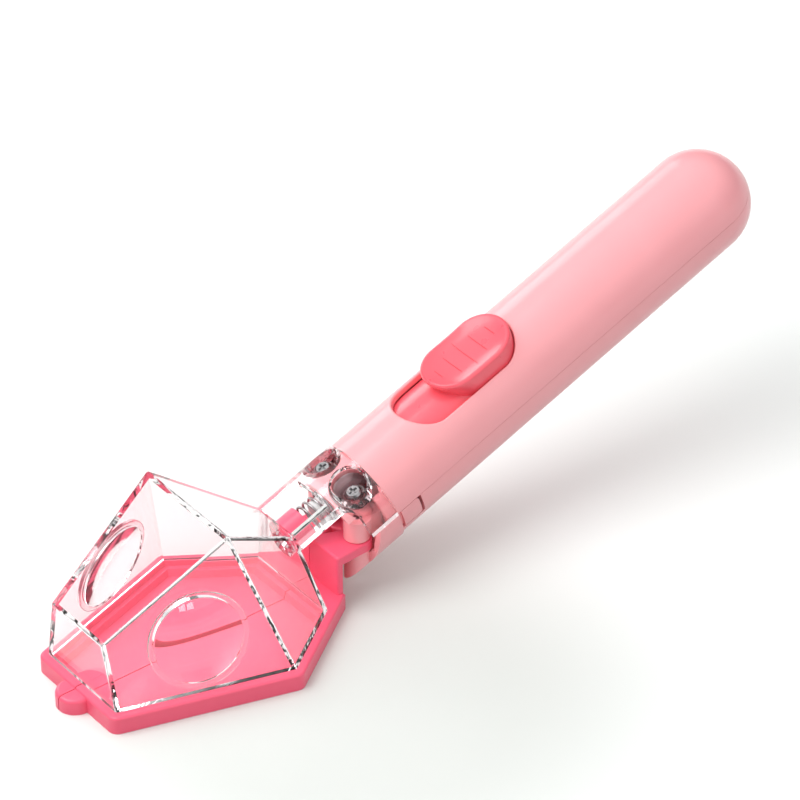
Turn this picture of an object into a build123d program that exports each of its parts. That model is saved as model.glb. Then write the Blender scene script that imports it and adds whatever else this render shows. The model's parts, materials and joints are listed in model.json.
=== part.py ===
"""Bug catcher: a faceted clear trap on a handle, with two tray doors that a thumb slider swings open.

Frame: millimetres, +Z up, origin on the floor under the roof ridge, on the parting line of the doors.
+X runs from the trap towards the handle, Y = 0 is the plane of symmetry, the near side is Y < 0.
The handle is laid out on its own slanted axis: s runs along the axis, h stands square to it.
"""

from build123d import *

import os
from math import atan2, cos, degrees, hypot, pi, radians, sin, sqrt, tan

# Handle axis, the handle on it and the neck that takes it
tilt = 21.1
axis_foot_x = -5.1
handle_radius = 15.0
handle_wall = 2.0
handle_end = 193.3
neck_step = 0.5
neck_radius = handle_radius + neck_step
neck_wall = 2.0
neck_start = 34.0
neck_end = 68.0
seam_height = 1.2
seam_gap = 0.1
neck_shoulder = 4.7
neck_front_half = neck_radius - neck_shoulder
window_half = 6.4
window_end = 54.0
collar_start = 58.8
collar_corner = 3.5

# Trap dome, outer faces
trap_base_z = 5.5
trap_front_x = -35.7
trap_back_x = 33.5
trap_front_half = 15.6
trap_back_margin = 0.2
trap_back_half = neck_radius + trap_back_margin
trap_wide_x = 12.0
trap_wide_half = 30.4
chin_x = -36.4
chin_z = 25.4
ridge_z = 47.8
ridge_half = 18.1
roof_back_x = 28.9
roof_back_z = 27.7
trap_wall = 1.9
trap_edge_round = 0.8

# Lenses in the front side facets
lens_along_share = 0.48
lens_up = 15.6
lens_radius = 12.2
lens_flange_radius = 13.9
lens_flange = 1.0
lens_bulge = 2.2
lens_back_bulge = 0.4
lens_fit = 0.1

# Screw cups of the collar and their screws
cup_place = 62.4
cup_half = 6.7
cup_mouth_radius = 4.9
cup_mouth_drop = 1.5
cup_mouth_height = neck_radius - cup_mouth_drop
cup_floor_radius = 3.3
cup_depth = 4.6
cup_floor_height = cup_mouth_height - cup_depth
cup_floor = 1.3
cup_wall = 1.0
collar_screw_length = 6.4
screw_radius = 1.2
screw_head_radius = 2.3
screw_head = 1.6
screw_tip = 1.0
screw_hole_play = 0.2
thread_play = 0.02
cross_length = 2.6
cross_width = 0.7
cross_depth = 0.8
post_radius = 2.4
post_play = 0.05

# Tray doors
tray_height = 5.2
tray_overhang = 2.2
tray_back_x = 41.7
tray_corner = 3.0
tray_floor = 1.3
rim_width = 4.3
step_width = 1.5
step_depth = 1.7
wall_draft = 12.0
door_gap = 0.3
door_edge_round = 0.8
tab_radius = 5.3
tab_height = 4.6
tab_round = 1.2

# Uprights, hinge ears and their pins
pivot_x = 49.6
pivot_half = neck_radius / 2
upright_thick = 2.3
upright_inset = 3.1
upright_half = neck_radius - upright_inset
upright_round = 0.9
ear_thick = 2.8
ear_round = 0.7
near_ear_z = 15.0
far_ear_z = 11.9
ear_gap = 0.3
hub_radius = 4.2
arm_half = 2.35
boss_radius = 3.65
boss_top_z = 24.5
hinge_pin_radius = 1.25
hinge_pin_play = 0.05
hinge_pin_seat = 0.02
hinge_pin_inset = 0.4
block_end = 6.9
block_inset = 2.75
block_outset = 1.85
ear_play = 0.4
cover_front_x = 51.6

# Push rod, its crosshead and the drive pin
travel = 8.0
rod_height = 7.2
rod_half = 3.1
rod_top = 7.4
rod_bottom = 2.8
rod_end = 118.0
flange_place = 56.4
flange_thick = 1.2
flange_radius = 4.2
nose_radius = 2.8
nose_length = 4.5
drive_pin_radius = 1.0
drive_pin_seat = 0.02
drive_slot_play = 0.16
drive_boss_radius = 2.6

# Return spring and its cup, which sits on a stub behind the trap
spring_radius = 3.9
wire_radius = 0.35
spring_turns = 8
spring_cup_wall = 0.6
spring_cup_play = 0.25
spring_cup_floor = 0.9
spring_cup_start = 41.5
spring_stub_radius = 2.6
spring_stub = 1.9
spring_stub_seat = 0.02
spring_stop_gap = 0.3
spring_seat_gap = 0.02

# Handle shells
shell_gap = 0.1
spigot_play = 0.2
spigot_radius = neck_radius - neck_wall - spigot_play
spigot_wall = 1.5
spigot_start = 65.0
saddle_start = 55.4
saddle_height = 7.0
saddle_hole_play = 0.3
lip_height = 1.0
lip_thick = 0.8
lip_play = 0.1
latch_length = 7.4
latch_low = 5.8
latch_depth = 1.6
latch_play = 0.3
latch_end_play = 0.9
latch_notch = 1.2
latch_notch_depth = 0.9

# Thumb slider and its slot
slot_start = 85.8
slot_end = 125.5
slot_inset = 6.0
slot_half = handle_radius - slot_inset
slot_edge_round = 0.5
button_play = 0.3
button_top_start = 96.6
button_foot_start = 99.6
button_sink = 3.4
button_foot_height = handle_radius - button_sink
button_rise = 1.5
button_dip_height = handle_radius + button_rise
button_rim_margin = 0.1
dish_inset = 1.9
dish_depth = 0.6
dip_radius = 86.0
rim_round = 0.9
groove_width = 0.5
groove_depth = 0.25
groove_pitch = 4.7
groove_lengths_share = (0.34, 0.72, 1.0, 0.72, 0.4)
groove_longest = 12.0
carriage_start = 83.4
carriage_end = 135.0
carriage_lap = 1.8
carriage_half = slot_half + carriage_lap
carriage_wall = 1.6
carriage_play = 0.3
rod_block_start = 104.0
rod_block_end = 114.0
slider_screw_cover = 1.4

# Posts, screws and rod guides inside the handle
shell_screw_places = (142.0, 184.0)
shell_post_radius = 3.4
shell_screw_reach = 7.0
shell_head_depth = 4.0
shell_screw_length = handle_radius - shell_head_depth + shell_screw_reach
shell_post_split = -4.0
shell_post_gap = 0.1
guide_places = (72.5, 96.0)
guide_thick = 2.0
guide_cheek = 1.6
guide_cheek_height = 3.0
guide_play = 0.3
guide_foot = 1.0
lip_start = 78.0
lip_end = 190.0
lip_root = 3.0
spigot_overlap = 2.0

overrun = 40.0

NEAR = -1
FAR = 1
SIDES = (NEAR, FAR)

os.makedirs("parts", exist_ok=True)

# Directions of the slanted handle axis
along = Vector(cos(radians(tilt)), 0, sin(radians(tilt)))
square_up = Vector(-sin(radians(tilt)), 0, cos(radians(tilt)))
axis_foot = Vector(axis_foot_x, 0, 0)


def on_axis(s, y=0, h=0):
    """Point s along the handle axis, y to the side and h square above it."""
    return axis_foot + along * s + square_up * h + Vector(0, y, 0)


def across(s):
    """Plane square to the handle axis: sketch x is world Y, sketch y is h."""
    return Plane(origin=on_axis(s), x_dir=(0, 1, 0), z_dir=along)


def above(h):
    """Plane along the handle axis at height h: sketch x is s, sketch y is world Y."""
    return Plane(origin=on_axis(0, 0, h), x_dir=along, z_dir=square_up)


def beside(y=0):
    """Upright plane of the handle at y: sketch x is s, sketch y is h, its normal is -Y."""
    return Plane(origin=on_axis(0, y), x_dir=along, z_dir=(0, -1, 0))


def height_at(x, h):
    """World height of a point at world x that lies h above the handle axis."""
    return (x - axis_foot_x) * tan(radians(tilt)) + h / cos(radians(tilt))


def facet(side, a, b, c):
    """Plane through three points of the near side, or their mirror images, its normal outwards."""
    a, b, c = (Vector(x, -side * y, z) for x, y, z in (a, b, c))
    return Plane(origin=a, x_dir=b - a, z_dir=(b - a).cross(c - a) * -side)


def tube_along(outer, inner, start, end):
    """Tube on the handle axis."""
    with BuildPart() as tube:
        with BuildSketch(across(start)):
            Circle(outer)
            Circle(inner, mode=Mode.SUBTRACT)
        extrude(amount=end - start)
    return tube.part


def screw(seat, direction, length, head_radius=screw_head_radius):
    """Pan-head screw whose head sits on seat, with its shank along direction."""
    plane = Plane(origin=seat, x_dir=(0, 1, 0), z_dir=-direction)
    with BuildPart() as body:
        with BuildSketch(Plane(origin=seat, x_dir=(0, 1, 0), z_dir=plane.x_dir.cross(-direction))):
            with BuildLine():
                Polyline(
                    (0, screw_head),
                    (head_radius - screw_tip / 2, screw_head),
                    (head_radius, screw_head - screw_tip / 2),
                    (head_radius, 0),
                    (screw_radius, 0),
                    (screw_radius, screw_tip - length),
                    (0, -length),
                    close=True,
                )
            make_face()
        revolve(axis=Axis(seat, -direction))
        with BuildSketch(plane.offset(screw_head - cross_depth)):
            Rectangle(cross_length, cross_width)
            Rectangle(cross_width, cross_length)
        extrude(amount=cross_depth, mode=Mode.SUBTRACT)
    return body.part


def finish(shape, name):
    """Names a finished piece and writes it."""
    shape.label = name
    export_step(shape, "parts/" + name + ".step")


def trap_block():
    """Outer block of the trap: a side profile trimmed by four slanted faces, run on below the base."""
    low_z = trap_base_z - 2 * trap_wall
    front_low = (trap_front_x, -trap_front_half, trap_base_z)
    wide_low = (trap_wide_x, -trap_wide_half, trap_base_z)
    back_low = (trap_back_x, -trap_back_half, trap_base_z)
    ridge = (0, -ridge_half, ridge_z)
    with BuildPart() as block:
        with BuildSketch(Plane.XZ.offset(-overrun)):
            with BuildLine():
                Polyline(
                    (trap_front_x, low_z),
                    (trap_front_x, trap_base_z),
                    (chin_x, chin_z),
                    (0, ridge_z),
                    (roof_back_x, roof_back_z),
                    (trap_back_x, trap_base_z),
                    (trap_back_x, low_z),
                    close=True,
                )
            make_face()
        extrude(amount=2 * overrun)
        for side in SIDES:
            split(bisect_by=facet(side, front_low, wide_low, ridge), keep=Keep.BOTTOM)
            split(bisect_by=facet(side, wide_low, back_low, ridge), keep=Keep.BOTTOM)
    return block.part


def side_point(x, z):
    """Handle coordinates (s, h) of a point at world x and z in the plane of symmetry."""
    return (
        (x - axis_foot_x) * cos(radians(tilt)) + z * sin(radians(tilt)),
        z * cos(radians(tilt)) - (x - axis_foot_x) * sin(radians(tilt)),
    )


def lens_plane(side):
    """Plane on the outside of a front side facet at the lens centre, its normal outwards."""
    front_low = Vector(trap_front_x, side * trap_front_half, trap_base_z)
    wide_low = Vector(trap_wide_x, side * trap_wide_half, trap_base_z)
    ridge = Vector(0, side * ridge_half, ridge_z)
    run = (wide_low - front_low).normalized()
    outward = run.cross(ridge - front_low).normalized() * -side
    upward = (outward.cross(run) * -side).normalized()
    centre = front_low + (wide_low - front_low) * lens_along_share + upward * lens_up
    return Plane(origin=centre, x_dir=run, z_dir=outward)


# Trap, neck and collar, one clear moulding
saddle_low = sqrt(neck_radius**2 - neck_front_half**2)
roof_corner = side_point(roof_back_x, roof_back_z)
ridge_corner = side_point(0, ridge_z)
cup_taper = degrees(atan2(cup_mouth_radius - cup_floor_radius, cup_mouth_height - cup_floor_height))
cup_centres = [(cup_place, side * cup_half) for side in SIDES]
spring_cup_end = flange_place - travel - spring_stop_gap
spring_bore_radius = spring_radius + spring_cup_play

dome_block = trap_block()
neck_tube = tube_along(neck_radius, neck_radius - neck_wall, neck_start, neck_end)

with BuildPart() as trap_cavity:
    add(dome_block)
    offset(amount=-trap_wall, kind=Kind.INTERSECTION)

with BuildPart() as neck:
    add(neck_tube)
    with BuildSketch(beside()):
        with BuildLine():
            Polyline(
                (collar_start, saddle_low - collar_corner),
                (collar_start, seam_height),
                (neck_end, seam_height),
                (neck_end, ridge_corner[1]),
                ridge_corner,
                roof_corner,
                (neck_start, roof_corner[1]),
                (neck_start, saddle_low),
                (collar_start - collar_corner, saddle_low),
            )
            CenterArc(
                (collar_start - collar_corner, saddle_low - collar_corner),
                collar_corner,
                start_angle=0,
                arc_size=90,
            )
        make_face()
    extrude(amount=overrun, both=True, mode=Mode.INTERSECT)
    with BuildSketch(above(0)):
        with Locations(((neck_start + window_end) / 2, 0)):
            Rectangle(window_end - neck_start, 2 * window_half)
    extrude(amount=overrun, mode=Mode.SUBTRACT)

with BuildPart() as cups:
    with BuildSketch(above(cup_floor_height - cup_floor)):
        with Locations(*cup_centres):
            Circle(cup_floor_radius + cup_wall)
    extrude(amount=neck_radius - cup_floor_height + cup_floor, taper=-cup_taper)
    with BuildSketch(across(neck_start)):
        Circle(neck_radius)
    extrude(amount=neck_end - neck_start, mode=Mode.INTERSECT)

with BuildPart() as clear_head:
    add(dome_block)
    split(bisect_by=Plane.XY.offset(trap_base_z), keep=Keep.TOP)
    fillet(
        clear_head.edges().filter_by(lambda edge: edge.center().Z > trap_base_z + trap_wall),
        trap_edge_round,
    )
    add(neck.part)
    add(cups.part)
    with BuildSketch(across(neck_start)):
        with Locations((0, rod_height)):
            Circle(spring_bore_radius + spring_cup_wall)
    extrude(amount=spring_cup_start - neck_start)
    with BuildSketch(across(spring_cup_start)):
        with Locations((0, rod_height)):
            Circle(spring_stub_radius)
    extrude(amount=spring_stub)
    with BuildSketch(above(cup_floor_height)):
        with Locations(*cup_centres):
            Circle(cup_floor_radius)
    extrude(amount=neck_radius - cup_floor_height, taper=-cup_taper, mode=Mode.SUBTRACT)
    with BuildSketch(above(cup_floor_height - cup_floor)):
        with Locations(*cup_centres):
            Circle(screw_radius + screw_hole_play)
    extrude(amount=2 * cup_floor, mode=Mode.SUBTRACT)
    add(trap_cavity.part, mode=Mode.SUBTRACT)
    for side in SIDES:
        with BuildSketch(lens_plane(side)):
            Circle(lens_radius + lens_fit)
        extrude(amount=-2 * trap_wall, mode=Mode.SUBTRACT)
finish(clear_head.part, "clear_head")

with BuildPart() as spring_cup:
    with BuildSketch(across(spring_cup_start)):
        with Locations((0, rod_height)):
            Circle(spring_bore_radius + spring_cup_wall)
            Circle(spring_stub_radius + spring_stub_seat, mode=Mode.SUBTRACT)
    extrude(amount=spring_cup_end - spring_cup_start)
    with BuildSketch(across(spring_cup_start + spring_cup_floor)):
        with Locations((0, rod_height)):
            Circle(spring_bore_radius)
    extrude(amount=spring_cup_end - spring_cup_start, mode=Mode.SUBTRACT)
finish(spring_cup.part, "spring_cup")


def cap_rise(radius, rise, share):
    """Height over its rim of a spherical cap, at a share of its radius from the middle."""
    sphere = (radius**2 + rise**2) / (2 * rise)
    return sqrt(sphere**2 - (radius * share) ** 2) - (sphere - rise)


def lens(side):
    """Magnifier: a cap outside, a flatter cap inside and a flange that sits on the facet."""
    seat = lens_plane(side)
    profile = Plane(origin=seat.origin, x_dir=seat.x_dir, z_dir=seat.x_dir.cross(seat.z_dir))
    half_share = 0.5
    front_rise = cap_rise(lens_radius, lens_bulge, half_share)
    back_rise = cap_rise(lens_radius, lens_back_bulge, half_share)
    with BuildPart() as glass:
        with BuildSketch(profile):
            with BuildLine():
                Polyline(
                    (0, lens_flange + lens_bulge),
                    (0, -trap_wall - lens_back_bulge),
                )
                ThreePointArc(
                    (0, -trap_wall - lens_back_bulge),
                    (lens_radius * half_share, -trap_wall - back_rise),
                    (lens_radius, -trap_wall),
                )
                Polyline(
                    (lens_radius, -trap_wall),
                    (lens_radius, 0),
                    (lens_flange_radius, 0),
                    (lens_flange_radius, lens_flange),
                    (lens_radius, lens_flange),
                )
                ThreePointArc(
                    (lens_radius, lens_flange),
                    (lens_radius * half_share, lens_flange + front_rise),
                    (0, lens_flange + lens_bulge),
                )
            make_face()
        revolve(axis=Axis(seat.origin, seat.z_dir))
    return glass.part


finish(lens(NEAR), "near_lens")
finish(lens(FAR), "far_lens")

# Tray doors with their uprights and hinge ears
front_slope = (trap_wide_half - trap_front_half) / (trap_wide_x - trap_front_x)
back_slope = (trap_wide_half - trap_back_half) / (trap_back_x - trap_wide_x)
half_run = travel * cos(radians(tilt)) / 2
pin_reach = hypot(pivot_half, half_run)
drive_pin_x = pivot_x + half_run
arm_angle = degrees(atan2(pivot_half, half_run))
swing = 180 - 2 * arm_angle


def tray_outline(outset, back_x):
    """Corners of the base outline of the trap, set outwards by outset and cut off at back_x."""
    front_shift = outset * hypot(1, front_slope)
    back_shift = outset * hypot(1, back_slope)
    front_x = trap_front_x - outset
    wide_step = (back_shift - front_shift) / (front_slope + back_slope)
    corners = [
        (front_x, trap_front_half + front_shift - front_slope * outset),
        (trap_wide_x + wide_step, trap_wide_half + front_shift + front_slope * wide_step),
        (back_x, trap_wide_half + back_shift - back_slope * (back_x - trap_wide_x)),
    ]
    return corners + [(x, -y) for x, y in reversed(corners)]


with BuildPart() as tray:
    with BuildSketch():
        with BuildLine():
            Polyline(*tray_outline(tray_overhang, tray_back_x), close=True)
        make_face()
    extrude(amount=tray_height)
    corner_edges = tray.edges().filter_by(Axis.Z)
    fillet(corner_edges.filter_by(lambda edge: edge.center().X < trap_back_x), tray_corner)
    fillet(tray.faces().sort_by(Axis.Z)[-1].outer_wire().edges(), door_edge_round)
    with BuildSketch(Plane.XY.offset(tray_height)):
        with BuildLine():
            inset = rim_width - tray_overhang
            Polyline(*tray_outline(-inset, trap_back_x - inset), close=True)
        make_face()
    extrude(amount=-step_depth, mode=Mode.SUBTRACT)
    with BuildSketch(Plane.XY.offset(tray_height - step_depth)):
        with BuildLine():
            inset = rim_width - tray_overhang + step_width
            Polyline(*tray_outline(-inset, trap_back_x - inset), close=True)
        make_face()
    extrude(amount=tray_floor + step_depth - tray_height, taper=wall_draft, mode=Mode.SUBTRACT)

with BuildPart() as tab:
    with BuildSketch():
        with Locations((trap_front_x - tray_overhang, 0)):
            Circle(tab_radius)
    extrude(amount=tab_height)
    fillet(tab.edges().group_by(Axis.Z)[-1], tab_round)
    with BuildSketch():
        with Locations((trap_front_x - tray_overhang + tab_radius, 0)):
            Rectangle(2 * (tab_radius - rim_width / 2), 2 * tab_radius)
    extrude(amount=tab_height, mode=Mode.SUBTRACT)


def pivot_plane(side, z, turn=0):
    """Level plane at a hinge pivot, its x turned by turn degrees as the door opens."""
    angle = radians(-side * turn)
    return Plane(
        origin=(pivot_x, side * pivot_half, z),
        x_dir=(cos(angle), sin(angle), 0),
        z_dir=(0, 0, 1),
    )


def upright_outline(side, grow=0):
    """Outline of an upright from above, laid out from its pivot: rounded outer corners, grown all round."""
    inner = side * (door_gap / 2 - pivot_half)
    outer = side * (upright_half - pivot_half)
    with BuildSketch() as outline:
        with Locations((tray_back_x - upright_thick / 2 - pivot_x, (inner + outer) / 2)):
            Rectangle(upright_thick + 2 * grow, abs(outer - inner) + 2 * grow)
        corners = outline.vertices().sort_by(Axis.Y)
        fillet(corners[:2] if side == NEAR else corners[2:], upright_round)
    return outline.sketch


def ear_prism(side, z_low, z_high, grow=0, turn=0):
    """Hinge ear with its driven arm, grown all round, with the door open by turn degrees."""
    outline = upright_outline(side, grow)
    with BuildPart() as ear:
        with BuildSketch(pivot_plane(side, z_low, turn)):
            add(outline)
            Circle(hub_radius + grow)
            make_hull()
        extrude(amount=z_high - z_low)
        with BuildSketch(pivot_plane(side, z_low, turn)):
            with Locations(Location((half_run / 2, -side * pivot_half / 2, 0), -side * arm_angle)):
                SlotCenterToCenter(pin_reach, 2 * (arm_half + grow))
        extrude(amount=z_high - z_low)
    return ear.part


def door(side, ear_z):
    """Half of the tray with the upright and the ear that hang it on its pin."""
    ear = ear_prism(side, ear_z, ear_z + ear_thick)
    outline = upright_outline(side)
    with BuildPart() as half:
        add(tray.part)
        add(tab.part)
        keep_plane = Plane(origin=(0, side * door_gap / 2, 0), x_dir=(1, 0, 0), z_dir=(0, side, 0))
        split(bisect_by=keep_plane, keep=Keep.TOP)
        with BuildSketch(pivot_plane(side, 0)):
            add(outline)
        extrude(amount=ear_z + ear_thick)
        add(ear)
        fillet(half.faces().filter_by(Plane.XY).sort_by(Axis.Z)[-1].edges(), ear_round)
        with BuildSketch(pivot_plane(side, ear_z)):
            Circle(hinge_pin_radius + hinge_pin_play)
            slot_middle = (pin_reach + pivot_half) / (2 * pin_reach)
            with Locations(
                Location((half_run * slot_middle, -side * pivot_half * slot_middle, 0), -side * arm_angle)
            ):
                SlotCenterToCenter(pin_reach - pivot_half, 2 * (drive_pin_radius + drive_slot_play))
        extrude(amount=ear_thick, mode=Mode.SUBTRACT)
    return half.part


finish(door(NEAR, near_ear_z), "near_door")
finish(door(FAR, far_ear_z), "far_door")

# Neck cover: the lower half of the neck with the hinge bosses and the screw posts
post_top = cup_floor_height - cup_floor - post_play
pin_depth = sqrt(neck_radius**2 - (pivot_half + hinge_pin_radius) ** 2)
pin_bottom_z = height_at(pivot_x + hinge_pin_radius, -pin_depth) + hinge_pin_inset
pivots = [(pivot_x, side * pivot_half) for side in SIDES]

with BuildPart() as hinge_core:
    with BuildSketch():
        with Locations(*pivots):
            Circle(boss_radius)
        block_half = pivot_half + (block_outset - block_inset) / 2
        with Locations(*[(pivot_x + block_end / 2, side * block_half) for side in SIDES]):
            Rectangle(block_end, block_inset + block_outset)
    extrude(amount=boss_top_z)
    with BuildSketch(above(-neck_radius)):
        with Locations(*cup_centres):
            Circle(post_radius)
    extrude(amount=post_top + neck_radius)
    with BuildSketch(across(neck_start)):
        Circle(neck_radius)
    extrude(amount=neck_end - neck_start, mode=Mode.INTERSECT)

latch_tube = tube_along(
    handle_radius, handle_radius - latch_depth, neck_end - neck_wall, neck_end + latch_length
)
notch_tube = tube_along(neck_radius, handle_radius - latch_notch_depth, neck_end, neck_end + latch_notch)

with BuildPart() as latches:
    add(latch_tube)
    with BuildSketch(beside()):
        top = seam_height - seam_gap
        with Locations((neck_end + (latch_length - neck_wall) / 2, (top - latch_low) / 2)):
            RectangleRounded(latch_length + neck_wall, top + latch_low, neck_wall / 2)
    extrude(amount=overrun, both=True, mode=Mode.INTERSECT)
    add(notch_tube, mode=Mode.SUBTRACT)

ear_pockets = [
    ear_prism(side, ear_z - ear_gap, ear_z + ear_thick + ear_gap, ear_play, turn)
    for side, ear_z in ((NEAR, near_ear_z), (FAR, far_ear_z))
    for turn in (0, swing / 2, swing)
]

with BuildPart() as neck_cover:
    add(neck_tube)
    split(bisect_by=above(seam_height - seam_gap), keep=Keep.BOTTOM)
    split(bisect_by=Plane.YZ.offset(cover_front_x), keep=Keep.TOP)
    add(hinge_core.part)
    add(latches.part)
    add(ear_pockets, mode=Mode.SUBTRACT)
    with BuildSketch(Plane.XY.offset(pin_bottom_z)):
        with Locations(*pivots):
            Circle(hinge_pin_radius + hinge_pin_seat)
    extrude(amount=boss_top_z - pin_bottom_z, mode=Mode.SUBTRACT)
    with BuildSketch(above(cup_floor_height - collar_screw_length - screw_tip)):
        with Locations(*cup_centres):
            Circle(screw_radius + thread_play)
    extrude(amount=collar_screw_length + screw_tip, mode=Mode.SUBTRACT)
finish(neck_cover.part, "neck_cover")

with BuildPart() as hinge_pins:
    with BuildSketch(Plane.XY.offset(pin_bottom_z)):
        with Locations(*pivots):
            Circle(hinge_pin_radius)
    extrude(amount=boss_top_z - hinge_pin_inset - pin_bottom_z)
finish(hinge_pins.part, "hinge_pins")

cup_seats = [on_axis(cup_place, side * cup_half, cup_floor_height) for side in SIDES]
cup_screws = [screw(seat, -square_up, collar_screw_length) for seat in cup_seats]

with BuildPart() as collar_screws:
    add(cup_screws)
finish(collar_screws.part, "collar_screws")

# Handle, two moulded shells parted along the sides
handle_start = neck_end + seam_gap
handle_bore = handle_radius - handle_wall

with BuildPart() as handle_body:
    with BuildSketch(beside()):
        with BuildLine():
            Polyline(
                (handle_end, handle_bore),
                (handle_start, handle_bore),
                (handle_start, handle_radius),
                (handle_end, handle_radius),
            )
            CenterArc((handle_end, 0), handle_radius, start_angle=0, arc_size=90)
            Line((handle_end + handle_radius, 0), (handle_end + handle_bore, 0))
            CenterArc((handle_end, 0), handle_bore, start_angle=0, arc_size=90)
        make_face()
    revolve(axis=Axis(axis_foot, along))

spigot = tube_along(spigot_radius, spigot_radius - spigot_wall, spigot_start, handle_start + spigot_overlap)
saddle_tube = tube_along(spigot_radius, spigot_radius - spigot_wall, saddle_start, spigot_start)
saddle = split(saddle_tube, bisect_by=above(saddle_height), keep=Keep.TOP)
lower_spigot = split(spigot, bisect_by=above(seam_height - shell_gap / 2), keep=Keep.BOTTOM)

with BuildPart() as top_spigot:
    add(spigot)
    split(bisect_by=above(seam_height + shell_gap / 2), keep=Keep.TOP)
    add(saddle)
    with BuildSketch(above(saddle_height)):
        with Locations(*cup_centres):
            Circle(cup_mouth_radius + cup_wall + saddle_hole_play)
    extrude(amount=overrun, mode=Mode.SUBTRACT)

with BuildPart() as handle_top_shell:
    add(handle_body.part)
    split(bisect_by=above(seam_height + shell_gap / 2), keep=Keep.TOP)
    with BuildSketch(above(0)):
        with Locations(((slot_start + slot_end) / 2, 0)):
            SlotOverall(slot_end - slot_start, 2 * slot_half)
    extrude(amount=overrun, mode=Mode.SUBTRACT)
    outer_skin = handle_top_shell.faces().filter_by(GeomType.CYLINDER).sort_by(SortBy.AREA)[-1]
    fillet(outer_skin.inner_wires()[0].edges(), slot_edge_round)
    add(top_spigot.part)
    with BuildSketch(above(shell_post_split + shell_post_gap)):
        with Locations(*[(place, 0) for place in shell_screw_places]):
            Circle(shell_post_radius)
    extrude(amount=handle_bore + handle_wall / 2 - shell_post_split)
    with BuildSketch(above(shell_post_split)):
        with Locations(*[(place, 0) for place in shell_screw_places]):
            Circle(screw_radius + thread_play)
    extrude(amount=shell_screw_reach - shell_post_split, mode=Mode.SUBTRACT)
finish(handle_top_shell.part, "handle_top_shell")

lip_bore = handle_bore - lip_play - lip_thick
lip_foot = tube_along(handle_bore + lip_play, lip_bore, lip_start, lip_end)
lip_tube = tube_along(handle_bore - lip_play, lip_bore, lip_start, lip_end)
lip_band = split(lip_tube, bisect_by=above(seam_height + lip_height), keep=Keep.BOTTOM)

with BuildPart() as lips:
    add(lip_foot)
    split(bisect_by=above(seam_height - shell_gap / 2), keep=Keep.BOTTOM)
    add(lip_band)
    split(bisect_by=above(seam_height - lip_root), keep=Keep.TOP)

with BuildPart() as handle_bottom_shell:
    add(handle_body.part)
    split(bisect_by=above(seam_height - shell_gap / 2), keep=Keep.BOTTOM)
    with BuildSketch(beside()):
        window_low = -latch_low - latch_play
        window_end_s = neck_end + latch_length + latch_end_play
        with Locations(((handle_start + window_end_s) / 2, (window_low + seam_height) / 2)):
            Rectangle(window_end_s - handle_start, seam_height - window_low)
    extrude(amount=overrun, both=True, mode=Mode.SUBTRACT)
    add(lower_spigot)
    add(lips.part)
    with BuildSketch(above(-handle_radius + handle_wall / 2)):
        with Locations(*[(place, 0) for place in shell_screw_places]):
            Circle(shell_post_radius)
    extrude(amount=handle_radius - handle_wall / 2 + shell_post_split)
    for place in guide_places:
        with BuildSketch(across(place)):
            Circle(handle_bore + lip_play)
            with Locations((0, -guide_foot + handle_radius)):
                Rectangle(2 * handle_radius, 2 * handle_radius, mode=Mode.SUBTRACT)
            with Locations((0, (rod_bottom - guide_play - guide_foot) / 2)):
                Rectangle(2 * (rod_half + guide_play + guide_cheek), rod_bottom - guide_play + guide_foot)
            for side in SIDES:
                with Locations((side * (rod_half + guide_play + guide_cheek / 2), rod_bottom)):
                    Rectangle(guide_cheek, 2 * guide_cheek_height)
        extrude(amount=guide_thick)
    with BuildSketch(above(-handle_radius)):
        with Locations(*[(place, 0) for place in shell_screw_places]):
            Circle(screw_head_radius + screw_hole_play)
    extrude(amount=shell_head_depth, mode=Mode.SUBTRACT)
    with BuildSketch(above(-handle_radius)):
        with Locations(*[(place, 0) for place in shell_screw_places]):
            Circle(screw_radius + screw_hole_play)
    extrude(amount=handle_radius + shell_post_split, mode=Mode.SUBTRACT)
finish(handle_bottom_shell.part, "handle_bottom_shell")

post_seats = [on_axis(place, 0, shell_head_depth - handle_radius) for place in shell_screw_places]
post_screws = [screw(seat, square_up, shell_screw_length) for seat in post_seats]

with BuildPart() as shell_screws:
    add(post_screws)
finish(shell_screws.part, "shell_screws")

# Thumb slider: a dished button on a curved carriage that keeps the slot covered
button_end = slot_end - button_play
button_half = slot_half - button_play
carriage_radius = handle_bore - carriage_play
carriage_bore = carriage_radius - carriage_wall
button_middle = (button_top_start + button_end) / 2
dip_sag = dip_radius - sqrt(dip_radius**2 - (button_end - button_middle) ** 2)
button_rim_height = button_dip_height + dip_sag + button_rim_margin
slider_screw_length = carriage_radius - rod_bottom - slider_screw_cover


def dip(drop):
    """Wide block whose underside is the lengthwise dip of the button, lowered by drop."""
    with BuildPart() as block:
        with BuildSketch(beside()):
            with Locations((button_middle, button_dip_height - drop + dip_radius)):
                Circle(dip_radius)
        extrude(amount=overrun, both=True)
    return block.part


def stadium(height, start, end, half):
    """Rounded slot shape laid over the handle at the given height."""
    with BuildSketch(above(height)) as shape:
        with Locations(((start + end) / 2, 0)):
            SlotOverall(end - start, 2 * half)
    return shape.sketch


rim_block = dip(0)
dish_block = dip(dish_depth)
groove_block = dip(dish_depth + groove_depth)
button_foot = stadium(0, button_foot_start, button_end, button_half)
button_waist = stadium(button_foot_height, button_foot_start, button_end, button_half)
button_rim = stadium(button_rim_height, button_top_start, button_end, button_half)
carriage_tube = tube_along(carriage_radius, carriage_bore, carriage_start, carriage_end)

with BuildPart() as dish:
    with BuildSketch(above(button_foot_height)):
        with Locations((button_middle, 0)):
            SlotOverall(button_end - button_top_start - 2 * dish_inset, 2 * (button_half - dish_inset))
    extrude(amount=button_rim_height)
    add(dish_block, mode=Mode.INTERSECT)

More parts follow.
